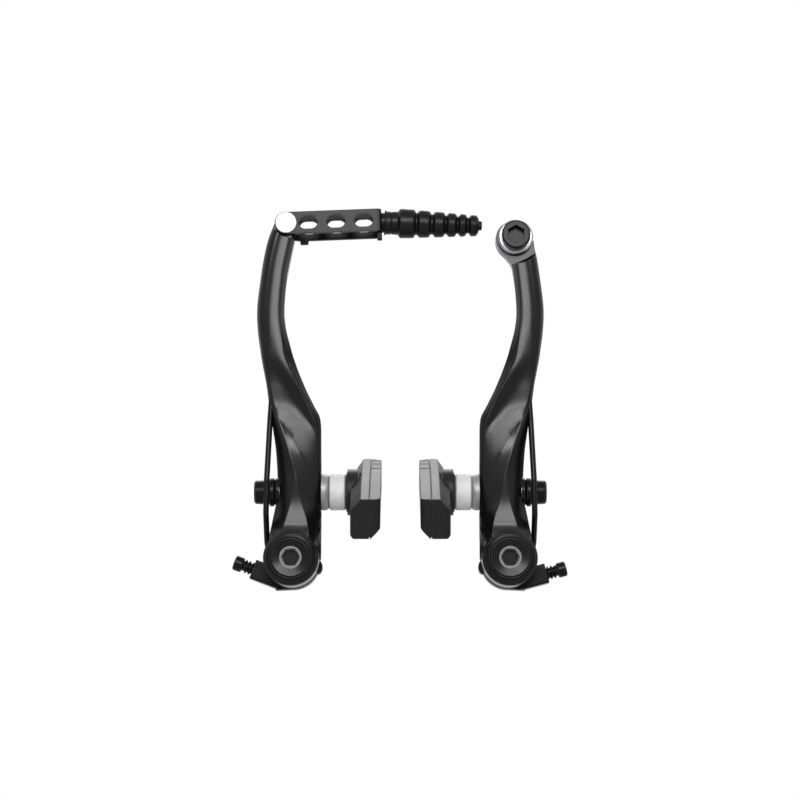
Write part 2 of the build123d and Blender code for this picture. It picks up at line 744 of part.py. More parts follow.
pin_plane = Plane(origin=(-pin_x, 0, pin_z), x_dir=(1, 0, 0), z_dir=(0, 0, 1))
with BuildPart() as link_pin:
    with BuildSketch(pin_plane):
        with BuildLine():
            Polyline(
                (0, -link_front - pin_head_h), (pin_head_r - 0.3, -link_front - pin_head_h),
                (pin_head_r, -link_front - pin_head_h + 0.3), (pin_head_r, -link_front),
                (link_pin_r, -link_front), (link_pin_r, -link_rear), (link_pin_r + 0.8, -link_rear),
                (link_pin_r + 0.4, -link_rear + 0.7), (0, -link_rear + 0.7), close=True,
            )
        make_face()
    revolve(axis=Axis((-pin_x, 0, pin_z), (0, 1, 0)))
link_pin.part.label = "link_pin"

# Ribbed rubber boot, its collar seated on the end plate of the link
boot_droop = radians(1.9)
boot_plane = Plane(
    origin=link_end.origin,
    x_dir=(cos(boot_droop), 0, -sin(boot_droop)),
    z_dir=(0, 1, 0),
)
boot_axis = Axis(boot_plane.origin, boot_plane.x_dir)
# Ribs along the free boot: start, end and radius; the boot stretches to reach the clamp
boot_ribs = [
    (5.1, 10.2, 4.72), (11.2, 15.0, 4.4), (16.1, 19.5, 4.13), (20.4, 23.2, 3.88), (24.1, 26.4, 3.66), (27.4, 29.9, 3.46),
]
rib_groove = 1.15
boot_outline = [
    (-0.6, 3.2), (0.9, 3.2), (0.9, 3.95), (1.3, 3.95), (1.5, 3.68), (2.9, 3.68), (3.1, 3.45), (3.4, 3.68),
]
groove_r = 3.7
for start, end, radius in boot_ribs:
    boot_outline += [(start, groove_r), (start + 0.7, radius - 0.12), (start + 1.0, radius)]
    boot_outline += [(end - 0.3, radius - 0.12), (end, radius - 0.3), (end + 0.6, radius - rib_groove)]
    groove_r = radius - rib_groove
boot_outline += [(30.7, 1.5), (31.4, 1.45), (boot_free, 1.2)]
boot_hollow = [(boot_free, 0.9), (29.5, 0.9), (27.0, 1.5), (5.5, 1.9), (4.5, noodle_r + 0.2)]
stretch = boot_len / boot_free
with BuildPart() as cable_boot:
    with BuildSketch(boot_plane):
        with BuildLine():
            boot_points = [(-0.6, noodle_r + 0.2)] + boot_outline + boot_hollow
            Polyline(*[(along * stretch, radius) for along, radius in boot_points], close=True)
        make_face()
    revolve(axis=boot_axis)
    with BuildSketch(link_end):
        Rectangle(30, 30)
    extrude(amount=-10, mode=Mode.SUBTRACT)
cable_boot.part.label = "cable_boot"

# Cable clamp on the right arm
clamp_front = eye_front + clamp_washer_h
clamp_plane = Plane(origin=(clamp_x, 0, clamp_z), x_dir=(1, 0, 0), z_dir=(0, 0, 1))
clamp_axis = Axis((clamp_x, 0, clamp_z), (0, 1, 0))
with BuildPart() as cable_washer:
    with BuildSketch(front_plane(eye_front)):
        with Locations((clamp_x, clamp_z)):
            Circle(clamp_washer_r)
            Circle(clamp_r + clamp_gap, mode=Mode.SUBTRACT)
    extrude(amount=clamp_washer_h)
    chamfer(cable_washer.edges().filter_by(GeomType.CIRCLE).group_by(Axis.Y)[0].sort_by(SortBy.RADIUS)[-1], 0.5)
    # Channel in which the inner cable is pinched
    with BuildSketch(Plane(origin=(clamp_x, -eye_front, clamp_z), x_dir=(0, 1, 0), z_dir=(1, 0, 0))):
        with Locations((0, clamp_r + 1.1)):
            Circle(0.8)
    extrude(amount=20, both=True, mode=Mode.SUBTRACT)
cable_washer.part.label = "cable_washer"

with BuildPart() as cable_bolt:
    with BuildSketch(clamp_plane):
        with BuildLine():
            Polyline(
                (0, -clamp_front - clamp_head_h), (clamp_head_r - 0.5, -clamp_front - clamp_head_h),
                (clamp_head_r, -clamp_front - clamp_head_h + 0.5), (clamp_head_r, -clamp_front),
                (clamp_r, -clamp_front), (clamp_r, -eye_back + 0.6), (clamp_r - 0.5, -eye_back + 1.1),
                (0, -eye_back + 1.1), close=True,
            )
        make_face()
    revolve(axis=clamp_axis)
    with BuildSketch(front_plane(clamp_front + clamp_head_h)):
        with Locations((clamp_x, clamp_z)):
            RegularPolygon(hex_r, 6, major_radius=False, rotation=30)
    extrude(amount=-clamp_head_h + 1.0, mode=Mode.SUBTRACT)
cable_bolt.part.label = "cable_bolt"

# Pieces of the right side that mirror the left
left_pieces = {
    "pivot_bush": left_pivot_bush.part,
    "pivot_washer": left_pivot_washer.part,
    "pivot_bolt": left_pivot_bolt.part,
    "return_spring": left_return_spring.part,
    "stopper_pin": left_stopper_pin.part,
    "brake_pad": left_brake_pad.part,
    "pad_stud": left_pad_stud.part,
    "pad_dome": left_pad_dome.part,
    "pad_spacer": left_pad_spacer.part,
    "arm_dome": left_arm_dome.part,
    "outer_dome": left_outer_dome.part,
    "outer_cup": left_outer_cup.part,
    "shoe_nut": left_shoe_nut.part,
    "spring_holder": left_spring_holder,
    "tension_screw": left_tension_screw,
}
right_sources = dict(left_pieces)
right_sources["spring_holder"] = right_spring_holder_base
right_sources["tension_screw"] = right_tension_screw_base

for name, piece in left_pieces.items():
    export_step(piece, "parts/left_" + name + ".step")
for name, piece in right_sources.items():
    with BuildPart() as mirrored:
        mirror(piece, about=Plane.YZ)
    mirrored.part.label = "right_" + name
    export_step(mirrored.part, "parts/right_" + name + ".step")

export_step(left_arm.part, "parts/left_arm.step")
export_step(right_arm.part, "parts/right_arm.step")
export_step(link_bracket.part, "parts/link_bracket.step")
export_step(link_pin.part, "parts/link_pin.step")
export_step(cable_boot.part, "parts/cable_boot.step")
export_step(cable_bolt.part, "parts/cable_bolt.step")
export_step(cable_washer.part, "parts/cable_washer.step")
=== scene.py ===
"""Looks of the linear-pull brake: finishes, spring wires, screw ridges, arm faces, light and camera."""

import json
import math
from collections import namedtuple

import bpy
import bmesh
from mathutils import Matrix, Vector


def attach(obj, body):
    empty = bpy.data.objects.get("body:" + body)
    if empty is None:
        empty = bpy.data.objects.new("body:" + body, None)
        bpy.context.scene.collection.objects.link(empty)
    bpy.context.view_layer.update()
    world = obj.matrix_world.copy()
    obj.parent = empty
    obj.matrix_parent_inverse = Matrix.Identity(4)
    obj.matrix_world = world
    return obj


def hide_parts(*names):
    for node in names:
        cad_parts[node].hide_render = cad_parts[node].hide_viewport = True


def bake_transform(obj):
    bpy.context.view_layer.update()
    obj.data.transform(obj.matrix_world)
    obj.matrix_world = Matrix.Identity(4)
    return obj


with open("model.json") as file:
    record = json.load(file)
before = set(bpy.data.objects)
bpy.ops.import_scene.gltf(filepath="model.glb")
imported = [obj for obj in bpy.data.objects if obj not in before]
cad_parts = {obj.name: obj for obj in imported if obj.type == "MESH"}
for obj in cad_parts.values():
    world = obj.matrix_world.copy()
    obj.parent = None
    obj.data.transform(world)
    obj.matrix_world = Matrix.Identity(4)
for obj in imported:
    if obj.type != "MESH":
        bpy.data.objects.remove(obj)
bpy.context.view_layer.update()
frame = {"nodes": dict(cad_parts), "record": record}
MM = 0.001
SIDES = ((-1, "left"), (1, "right"))

# Sizes in millimetres, the same as the solids'. Outwards is counted from an arm's pivot, depth from
# the frame's origin towards the front, and height from the pivots.
PIVOT_HALF = 33.5
LINK_FRONT = 14.5

# Return spring, its leg's points given as (outwards from the coil, depth, height)
COIL_R = 6.8
WIRE_R = 0.9
COIL_FRONT = 7.7
COIL_BACK = 3.32
COIL_TURNS = 2.25
LEG = (
    (0.0, COIL_FRONT, 0.0), (1.0, COIL_FRONT, 6.0), (1.1, 13.5, 14.0), (0.95, 13.5, 24.5),
    (0.15, 12.0, 43.0), (-0.7, 12.0, 56.0),
)
LEG_BEND = 2.5

# Tension screw, its head placed from the pivot
SCREW_Y = 5.0
SCREW_RISE = 18.0
SCREW_SIDE = 3.0
SCREW_OUT = 16.6
SCREW_DROP = 1.6
SCREW_R = 1.55
SCREW_HEAD_H = 2.8

# Shoe and the seats of its washers on the arm
SHOE_Y = 8.0
SHOE_Z = 21.3
SEAT_OUT = 3.9
SEAT_IN = -8.9
SEAT_OUT_R = 4.95
SEAT_IN_R = 6.8

# Tops of the arms: the link's pin and the cable clamp, each with its recess
PIN_OUT = 2.3
PIN_Z = 105.4
PIN_RECESS_R = 4.3
CLAMP_OUT = 2.6
CLAMP_Z = 101.2
CLAMP_RECESS_R = 8.6


# Finishes

CLOUD_SCALE = 160.0
CLOUD_DETAIL = 4.0
TONE_FROM = 0.3
TONE_TO = 0.7
GLOSS_SPREAD = 0.12
GRAIN_DETAIL = 3.0
SOFT_SAMPLES = 6
# Edges are painted paler, partly as wear and partly as a painted highlight, between these agreements of the
# softened and true normals
WEAR_HIGHLIGHT_FROM = 0.985
WEAR_HIGHLIGHT_FULL = 0.86
# Depth behind the link's front face past which the link is painted near black as shade
LINK_SKIN = 0.35
# Radius and width of the ring painted paler round a pivot bolt's socket as a highlight
MOUTH_R = 2.95
MOUTH_WIDE = 0.9


def feed(tree, node, inputs):
    """Set each input of a node to a plain value, or join it to another node's output."""
    for key, value in inputs.items():
        if isinstance(value, bpy.types.NodeSocket):
            tree.links.new(value, node.inputs[key])
        else:
            node.inputs[key].default_value = value


def add_node(tree, kind, inputs):
    """A new shader node of a kind, with its inputs fed."""
    node = tree.nodes.new("ShaderNode" + kind)
    feed(tree, node, inputs)
    return node


def math_node(tree, operation, first, second=0.0):
    """The result of an operation on one or two values."""
    node = add_node(tree, "Math", {0: first, 1: second})
    node.operation = operation
    return node.outputs["Value"]


def mix_colours(tree, factor, first, second):
    """The first colour where the factor is 0, the second where it is 1."""
    node = tree.nodes.new("ShaderNodeMix")
    node.data_type = "RGBA"
    feed(tree, node, {"Factor": factor, "A": first, "B": second})
    return node.outputs["Result"]


def mix_shaders(tree, factor, first, second, output):
    """Give an output the first shader where the factor is 0, the second where it is 1."""
    mix = add_node(tree, "MixShader", {"Fac": factor, 1: first, 2: second})
    tree.links.new(mix.outputs["Shader"], output.inputs["Surface"])


def noise(tree, place, scale, detail):
    """Clouds from 0 to 1 over the object."""
    return add_node(tree, "TexNoise", {"Vector": place, "Scale": scale, "Detail": detail}).outputs["Fac"]


def mottled(tree, cloud, colour, mottle):
    """The colour, a little darker and lighter in clouds."""
    tone = add_node(tree, "ValToRGB", {"Fac": cloud})
    dark, light = tone.color_ramp.elements
    dark.position = TONE_FROM
    light.position = TONE_TO
    dark.color = (*[c * (1 - mottle) for c in colour], 1)
    light.color = (*[min(1.0, c * (1 + mottle)) for c in colour], 1)
    return tone.outputs["Color"]


def uneven(tree, cloud, rough):
    """The roughness, a little lower and higher in the same clouds."""
    ends = {"To Min": rough * (1 - GLOSS_SPREAD), "To Max": rough * (1 + GLOSS_SPREAD)}
    return add_node(tree, "MapRange", {"Value": cloud, **ends}).outputs["Result"]


def grained(tree, place, normal, grain):
    """The normal with a fine grain of a scale, strength and height in metres."""
    scale, strength, height = grain
    fine = noise(tree, place, scale, GRAIN_DETAIL)
    bump = {"Strength": strength, "Distance": height, "Height": fine, "Normal": normal}
    return add_node(tree, "Bump", bump).outputs["Normal"]


def wear_and_edge_highlight(tree, soft, cloud):
    """How far an edge is painted paler, in patches, partly as wear and partly as a painted highlight: an
    edge is where the softened normal leaves the true one.
    """
    agree = tree.nodes.new("ShaderNodeVectorMath")
    agree.operation = "DOT_PRODUCT"
    feed(tree, agree, {0: soft, 1: tree.nodes.new("ShaderNodeNewGeometry").outputs["Normal"]})
    span = {"From Min": WEAR_HIGHLIGHT_FROM, "From Max": WEAR_HIGHLIGHT_FULL}
    wear_and_highlight = add_node(tree, "MapRange", {"Value": agree.outputs["Value"], **span})
    return math_node(tree, "MULTIPLY", wear_and_highlight.outputs["Result"], cloud)


def painted_shade_behind_front_plate(tree, place):
    """1 on the link's surfaces behind its front face, which are painted near black as shade inside the link.
    """
    where = add_node(tree, "SeparateXYZ", {"Vector": place}).outputs
    return math_node(tree, "GREATER_THAN", where["Y"], -(LINK_FRONT - LINK_SKIN) * MM)


def painted_socket_highlight(tree, place):
    """1 on a ring round the hexagon socket of a pivot bolt, painted paler as a highlight on its bevel."""
    where = add_node(tree, "SeparateXYZ", {"Vector": place}).outputs
    across = math_node(tree, "SUBTRACT", math_node(tree, "ABSOLUTE", where["X"]), PIVOT_HALF * MM)
    squares = [math_node(tree, "POWER", part, 2.0) for part in (across, where["Z"])]
    radius = math_node(tree, "SQRT", math_node(tree, "ADD", *squares))
    offset = math_node(tree, "ABSOLUTE", math_node(tree, "SUBTRACT", radius, MOUTH_R * MM))
    return math_node(tree, "LESS_THAN", offset, MOUTH_WIDE / 2 * MM)


def finish_of(
    name, colour, rough, metal=0.0, specular=0.5, grain=(1500, 0.05, 0.0002), mottle=0.1, edge=0.0003,
    wear_and_highlight_colour=None, mask=None, other=None,
):
    """A finish with softened edges, a paler colour on edges that is partly wear and partly a painted
    highlight, and another colour where a mask says so.
    """
    finish = bpy.data.materials.new(name)
    finish.use_nodes = True
    tree = finish.node_tree
    place = tree.nodes.new("ShaderNodeTexCoord").outputs["Object"]
    cloud = noise(tree, place, CLOUD_SCALE, CLOUD_DETAIL)
    bevel = add_node(tree, "Bevel", {"Radius": edge})
    bevel.samples = SOFT_SAMPLES
    soft = bevel.outputs["Normal"]
    shade = mottled(tree, cloud, colour, mottle)
    # Another colour where the mask says so: painted shade on the link, a painted highlight round the bolts'
    # sockets
    if mask:
        shade = mix_colours(tree, mask(tree, place), shade, (*other, 1))
    # Paler edges, partly wear and partly a painted highlight
    if wear_and_highlight_colour:
        shade = mix_colours(tree, wear_and_edge_highlight(tree, soft, cloud), shade, (*wear_and_highlight_colour, 1))
    looks = {"Base Color": shade, "Metallic": metal, "Specular IOR Level": specular}
    looks["Roughness"] = uneven(tree, cloud, rough)
    looks["Normal"] = grained(tree, place, soft, grain)
    feed(tree, tree.nodes["Principled BSDF"], looks)
    return finish


# Colours are linear. A grain is its scale, strength and height in metres, and an edge is the radius of
# softened edges in metres. The paler edge colour is partly wear and partly a painted highlight.
LOOKS = {
    # Pivot bolts: a paler ring painted round the socket as a highlight
    "bolt_steel": dict(
        colour=(0.003, 0.003, 0.0033), rough=0.2, specular=0.15, wear_and_highlight_colour=(0.09, 0.09, 0.092),
        mask=painted_socket_highlight, other=(0.16, 0.16, 0.165),
    ),
    "black_paint": dict(
        colour=(0.003, 0.003, 0.0032), rough=0.22, specular=0.2, grain=(2600, 0.06, 0.0002),
        wear_and_highlight_colour=(0.05, 0.05, 0.052),
    ),
    "black_steel": dict(
        colour=(0.0025, 0.0025, 0.0027), rough=0.24, specular=0.1, grain=(1800, 0.05, 0.0002),
        wear_and_highlight_colour=(0.12, 0.12, 0.122),
    ),
    # The link: grey on its front face, painted near black behind it as painted shade
    "grey_steel": dict(
        colour=(0.035, 0.035, 0.036), rough=0.36, specular=0.08, grain=(2600, 0.1, 0.0002),
        mask=painted_shade_behind_front_plate, other=(0.002, 0.002, 0.002),
    ),
    "zinc_steel": dict(
        colour=(0.34, 0.34, 0.35), rough=0.36, metal=1.0, grain=(2000, 0.05, 0.0002), mottle=0.06,
    ),
    "bright_steel": dict(
        colour=(0.86, 0.86, 0.86), rough=0.4, metal=0.3, grain=(2400, 0.04, 0.0002), mottle=0.02,
    ),
    "spring_wire": dict(
        colour=(0.002, 0.002, 0.0022), rough=0.22, specular=0.14, mottle=0.12, edge=0.0001,
    ),
    "black_plastic": dict(
        colour=(0.002, 0.002, 0.0022), rough=0.3, specular=0.1, grain=(1600, 0.15, 0.0002),
        wear_and_highlight_colour=(0.03, 0.03, 0.03),
    ),
    "pad_rubber": dict(
        colour=(0.005, 0.005, 0.0053), rough=0.42, specular=0.17, grain=(1900, 0.3, 0.0003), mottle=0.15,
        edge=0.0005, wear_and_highlight_colour=(0.045, 0.045, 0.045),
    ),
    "boot_rubber": dict(
        colour=(0.0025, 0.0025, 0.0027), rough=0.32, specular=0.15, grain=(1500, 0.2, 0.0003), mottle=0.12,
    ),
    "bright_alloy": dict(
        colour=(0.47, 0.47, 0.47), rough=0.6, metal=0.1, grain=(3200, 0.45, 0.0003),
    ),
    "grey_alloy": dict(
        colour=(0.2, 0.2, 0.205), rough=0.42, metal=0.4, grain=(2200, 0.15, 0.0002), mottle=0.06,
    ),
}
FINISHES = {name: finish_of(name, **look) for name, look in LOOKS.items()}
SLOT_OF = {entry["node"]: entry["material_slot"] for entry in frame["record"]["subparts"]}
for node, obj in frame["nodes"].items():
    obj.data.materials.clear()
    obj.data.materials.append(FINISHES["bolt_steel" if node.endswith("pivot_bolt") else SLOT_OF[node]])


# Meshes

def add_object(name, data):
    """A new object in the scene."""
    obj = bpy.data.objects.new(name, data)
    bpy.context.scene.collection.objects.link(obj)
    return obj


def add_mesh(name, bm, slot):
    """A smooth piece in the finish of a slot."""
    mesh = bpy.data.meshes.new(name)
    bm.to_mesh(mesh)
    bm.free()
    mesh.materials.append(FINISHES[slot])
    for face in mesh.polygons:
        face.use_smooth = True
    obj = add_object(name, mesh)
    return obj


def skin(bm, rings, closed=True):
    """Faces between rings of points, all round or open on one side, and a cap at either end."""
    count = len(rings[0])
    for one, two in zip(rings, rings[1:]):
        for k in range(count if closed else count - 1):
            bm.faces.new((one[k], one[(k + 1) % count], two[(k + 1) % count], two[k]))
    bm.faces.new(list(reversed(rings[0])))
    bm.faces.new(rings[-1])
    bmesh.ops.recalc_face_normals(bm, faces=bm.faces)


def hermite(start, end, leave, arrive, t):
    """A point at share t of a cubic from start to end, with its rates of change at both."""
    return (
        start * (1 + 2 * t) * (1 - t) ** 2 + end * t * t * (3 - 2 * t)
        + leave * t * (1 - t) ** 2 - arrive * t * t * (1 - t)
    )


# Return springs: a wire round the coil and up the leg to its tip

COIL_STEPS = 64
BEND_STEPS = 8
LEG_STEP = 1.2
WIRE_SIDES = 20


def tube(points, radius):
    """A closed round wire along points, its rings carried along without twist."""
    bm = bmesh.new()
    rings = []
    normal = None
    for i, p in enumerate(points):
        before = points[max(i - 1, 0)]
        after = points[min(i + 1, len(points) - 1)]
        tangent = (after - before).normalized()
        if normal is None:
            normal = tangent.orthogonal().normalized()
        normal = (normal - tangent * normal.dot(tangent)).normalized()
        across = tangent.cross(normal)
        ring = []
        for k in range(WIRE_SIDES):
            a = 2 * math.pi * k / WIRE_SIDES
            ring.append(bm.verts.new(p + radius * (math.cos(a) * normal + math.sin(a) * across)))
        rings.append(ring)
    skin(bm, rings)
    return bm


def coil_points():
    """The coil from its back to its front, as (outwards, y, height)."""
    points = []
    for i in range(COIL_STEPS + 1):
        share = 1 - i / COIL_STEPS
        angle = -share * COIL_TURNS * 2 * math.pi
        depth = COIL_FRONT + (COIL_BACK - COIL_FRONT) * share
        points.append((COIL_R * math.cos(angle), -depth, COIL_R * math.sin(angle)))
    return points


def leg_points():
    """The leg from the coil's front to its tip with rounded bends, as (outwards, y, height)."""
    stops = [Vector((COIL_R + out, -depth, up)) for out, depth, up in LEG]
    way = [stops[0]]
    for a, b, c in zip(stops, stops[1:], stops[2:]):
        into = (b - a).normalized()
        out_of = (c - b).normalized()
        cut = LEG_BEND * math.tan(into.angle(out_of) / 2)
        for step in range(BEND_STEPS + 1):
            k = step / BEND_STEPS
            way.append((1 - k) ** 2 * (b - into * cut) + 2 * k * (1 - k) * b + k**2 * (b + out_of * cut))
    way.append(stops[-1])
    points = []
    for a, b in zip(way, way[1:]):
        steps = max(1, round((b - a).length / LEG_STEP))
        points += [tuple(a.lerp(b, (step + 1) / steps)) for step in range(steps)]
    return points


for side, word in SIDES:
    route = [Vector((side * (PIVOT_HALF + o), y, z)) * MM for o, y, z in coil_points() + leg_points()]
    wire = add_mesh(word + "_spring_wire", tube(route, WIRE_R * MM), "spring_wire")
    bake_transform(wire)
    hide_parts(word + "_return_spring")


# Ridges of the tension screws; a foot and a crest are half widths, as shares of the pitch

THREAD_PITCH = 1.15
THREAD_DEEP = 0.6
THREAD_RUN = 3.3
THREAD_START = 0.3
THREAD_FOOT = 0.42
THREAD_CREST = 0.07
THREAD_SUNK = 0.08
THREAD_FADE = 0.25
THREAD_STEPS = 28


def screw_frame(side):
    """Centre of the tension screw's head in metres, and the direction it points."""
    turn = math.radians(-side * SCREW_SIDE)
    out = SCREW_OUT * math.cos(turn) + SCREW_DROP * math.sin(turn)
    up = SCREW_OUT * math.sin(turn) - SCREW_DROP * math.cos(turn)
    rise = math.radians(SCREW_RISE - side * SCREW_SIDE)
    centre = Vector((side * (PIVOT_HALF + out), -SCREW_Y, up)) * MM
    return centre, Vector((side * math.cos(rise), 0, math.sin(rise)))


def thread(start, axis):
    """A ridge wound round the shank, from start inwards along -axis, its ends run out to nothing."""
    bm = bmesh.new()
    x = axis.orthogonal().normalized()
    y = axis.cross(x)
    steps = int(THREAD_RUN / THREAD_PITCH * THREAD_STEPS)
    rows = []
    for i in range(steps + 1):
        along = THREAD_RUN * i / steps
        a = 2 * math.pi * along / THREAD_PITCH
        ray = math.cos(a) * x + math.sin(a) * y
        high = THREAD_DEEP * min(1.0, min(along, THREAD_RUN - along) / (THREAD_FADE * THREAD_PITCH))
        profile = (
            (-THREAD_FOOT, -THREAD_SUNK), (-THREAD_CREST, high),
            (THREAD_CREST, high), (THREAD_FOOT, -THREAD_SUNK),
        )
        row = []
        for shift, lift in profile:
            back = along + shift * THREAD_PITCH
            row.append(bm.verts.new(start + (SCREW_R + lift) * MM * ray - back * MM * axis))
        rows.append(row)
    skin(bm, rows, closed=False)
    return bm


for side, word in SIDES:
    centre, axis = screw_frame(side)
    start = centre - axis * (SCREW_HEAD_H / 2 + THREAD_START) * MM
    ridge = add_mesh(word + "_screw_thread", thread(start, axis), "black_steel")
    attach(ridge, word + "_adjuster")


# Arm faces: thin shells that give the arms' fronts their straight creases

# Each section has its height, how far its creases have run out, how far the shell stands off, and seven
# points as (outwards, depth): outer edge, three crease points, valley, ridge and inner edge.
Section = namedtuple("Section", "height soft stand_off points")
LOWER_SECTIONS = [
    Section(0.0, 0.0, 0.04, (
        (7.1, 12.0), (3.4, 17.2), (-5.6, 17.2), (-7.4, 15.2), (-8.1, 14.0), (-8.6, 12.8), (-9.1, 11.8),
    )),
    Section(6.0, 0.0, 0.3, (
        (7.0, 11.6), (3.1, 16.6), (-5.5, 16.6), (-7.5, 14.2), (-8.2, 13.2), (-8.7, 12.2), (-9.1, 11.4),
    )),
    Section(11.4, 0.0, 0.34, (
        (6.1, 11.0), (1.9, 15.2), (-4.8, 15.2), (-7.6, 13.0), (-8.2, 12.3), (-8.7, 11.7), (-9.1, 11.0),
    )),
    Section(18.0, 0.0, 0.25, (
        (4.9, 10.9), (0.1, 14.9), (-2.7, 14.9), (-7.4, 12.8), (-8.1, 12.3), (-8.6, 11.8), (-9.05, 11.2),
    )),
    Section(25.0, 0.0, 0.3, (
        (4.5, 11.0), (-1.0, 15.1), (-1.45, 15.1), (-6.3, 13.2), (-7.8, 12.7), (-8.4, 12.2), (-9.0, 11.5),
    )),
    Section(33.0, 0.0, 0.38, (
        (4.95, 11.3), (0.9, 15.0), (0.5, 15.0), (-2.5, 13.9), (-7.7, 13.0), (-8.3, 12.5), (-8.95, 11.8),
    )),
    Section(40.0, 0.0, 0.38, (
        (5.9, 11.6), (3.25, 14.4), (2.85, 14.4), (1.3, 14.0), (-6.3, 13.2), (-7.8, 13.0), (-8.9, 12.0),
    )),
    Section(43.5, 0.2, 0.25, (
        (6.45, 11.8), (4.6, 13.9), (4.2, 13.95), (3.5, 13.9), (-4.3, 13.3), (-6.8, 13.7), (-8.65, 12.0),
    )),
    Section(48.0, 0.6, 0.2, (
        (7.2, 11.9), (6.4, 12.9), (6.0, 13.2), (5.5, 13.4), (-1.6, 13.4), (-4.8, 14.1), (-6.55, 12.0),
    )),
    Section(54.0, 1.0, 0.34, (
        (8.05, 11.9), (7.6, 12.7), (7.3, 13.0), (6.9, 13.3), (2.2, 13.5), (-1.6, 14.3), (-3.65, 12.0),
    )),
    Section(64.5, 1.0, 0.3, (
        (10.0, 11.8), (9.5, 12.9), (9.1, 13.35), (8.6, 13.7), (7.0, 14.1), (2.9, 14.25), (0.25, 11.8),
    )),
]
# The upper sections are one crown, flatter than the solid's and stretched to the arm's width. Each is
# measured down from the link's pin: height, stand-off, outer and inner edge.
UPPER_SECTIONS = (
    (28.4, 0.1, 11.25, 2.8), (16.4, 0.1, 10.1, 2.0), (8.0, 0.08, 8.75, 0.4), (3.0, 0.06, 7.4, -0.6),
    (-3.2, 0.05, 5.0, -1.9),
)
CROWN_WIDE = 8.45
CROWN_FROM_OUTER = ((0.0, 11.6), (0.7, 12.95), (1.5, 13.7), (2.7, 14.25), (4.7, 14.5))
CROWN_FROM_INNER = ((1.2, 14.3), (0.0, 11.7))
# The share of the stand-off that each of the seven points takes
FACE_RAISED = (0.2, 1.0, 1.0, 1.0, 1.0, 1.0, 0.2)
FACE_STEPS = 5
# The lowest row lies inside the boss's wall. The edges lap past the solid's, wrap back over its sides,
# and end inset behind its front.
FACE_START = 6.2
FACE_LAP = 0.04
FACE_WRAP = 0.7
FACE_INSET = 1.0
RIDGE_SOFT = 0.6
SEAT_GAP = 0.02
CREASE_ANGLE = math.radians(12)
# The shell's rows are level up to a run below its top, and then lean into the edge of the recess
TOP_RUN = 6.0
TOP_GAP = 0.12
LEFT_TOP = 100.0
RIGHT_TOP = 92.4
# The left recess's edge falls inwards of the pin at this slope, and is an arc out to this reach
RECESS_FALL = 0.22
RECESS_REACH = 3.9


def crown(outer, inner):
    """The seven points of an upper section, to a hundredth of a millimetre."""
    stretch = (outer - inner) / CROWN_WIDE
    points = [(round(outer - stretch * along, 2), depth) for along, depth in CROWN_FROM_OUTER]
    return points + [(round(inner + stretch * along, 2), depth) for along, depth in CROWN_FROM_INNER]


FACE_SECTIONS = LOWER_SECTIONS + [
    Section(PIN_Z - below, 1.0, stand_off, crown(outer, inner))
    for below, stand_off, outer, inner in UPPER_SECTIONS
]


def along_sections(z, pick):
    """A value at height z, carried through the sections on a curve that never overshoots."""
    heights = [section.height for section in FACE_SECTIONS]
    values = [pick(section) for section in FACE_SECTIONS]
    i = max(k for k in range(len(heights) - 1) if heights[k] <= z or k == 0)

    def rate(k):
        if k == 0 or k == len(heights) - 1:
            return 0.0
        low = (values[k] - values[k - 1]) / (heights[k] - heights[k - 1])
        high = (values[k + 1] - values[k]) / (heights[k + 1] - heights[k])
        return 2 * low * high / (low + high) if low * high > 0 else 0.0

    gap = heights[i + 1] - heights[i]
    t = min(1.0, max(0.0, (z - heights[i]) / gap))
    return hermite(values[i], values[i + 1], rate(i) * gap, rate(i + 1) * gap, t)


def face_knots(z):
    """The seven points at height z, raised off the solid, the two edges lapped over its sides."""
    stand_off = along_sections(z, lambda section: section.stand_off)
    knots = []
    for k, raised in enumerate(FACE_RAISED):
        out = along_sections(z, lambda section: section.points[k][0])
        depth = along_sections(z, lambda section: section.points[k][1])
        knots.append(Vector((out, depth + stand_off * raised)))
    knots[0] += Vector((FACE_LAP, FACE_LAP))
    knots[-1] += Vector((-FACE_LAP, FACE_LAP))
    return knots


def clear_seats(knots, z):
    """Stop the edges short where the seats of the shoe's washers are cut."""
    for edge, near, plane, radius in ((0, 1, SEAT_OUT, SEAT_OUT_R), (-1, -2, SEAT_IN, SEAT_IN_R)):
        limit = abs(plane) - SEAT_GAP
        reach = math.hypot(knots[edge].y - SHOE_Y, z - SHOE_Z)
        if reach < radius and abs(knots[edge].x) > limit:
            stop = math.copysign(limit, plane)
            share = (stop - knots[near].x) / (knots[edge].x - knots[near].x)
            knots[edge] = knots[near].lerp(knots[edge], share)


def face_row(z):
    """Front points of the arm at height z as (outwards, depth), from its outer to its inner edge."""
    knots = face_knots(z)
    clear_seats(knots, z)
    soft = along_sections(z, lambda section: section.soft)
    ease = (0.0, soft, soft, soft, 1.0, 1.0 - RIDGE_SOFT * soft, 0.0)
    last = len(knots) - 1
    points = [knots[0]]
    for i in range(last):
        chord = knots[i + 1] - knots[i]
        ways = []
        for k in (i, i + 1):
            smooth = chord.normalized()
            if 0 < k < last:
                smooth = (knots[k + 1] - knots[k - 1]).normalized()
            ways.append(chord.normalized().lerp(smooth, ease[k]) * chord.length)
        for step in range(1, FACE_STEPS + 1):
            points.append(hermite(knots[i], knots[i + 1], *ways, step / FACE_STEPS))
    return points


def left_edge(out):
    """Height of the lower edge of the left arm's recess for the link."""
    if out < PIN_OUT:
        return PIN_Z - PIN_RECESS_R - (PIN_OUT - out) * RECESS_FALL
    return PIN_Z - math.sqrt(PIN_RECESS_R**2 - min(out - PIN_OUT, RECESS_REACH) ** 2)


def right_edge(out):
    """Height of the lower edge of the right arm's recess round the clamp."""
    return CLAMP_Z - math.sqrt(CLAMP_RECESS_R**2 - (out - CLAMP_OUT) ** 2)


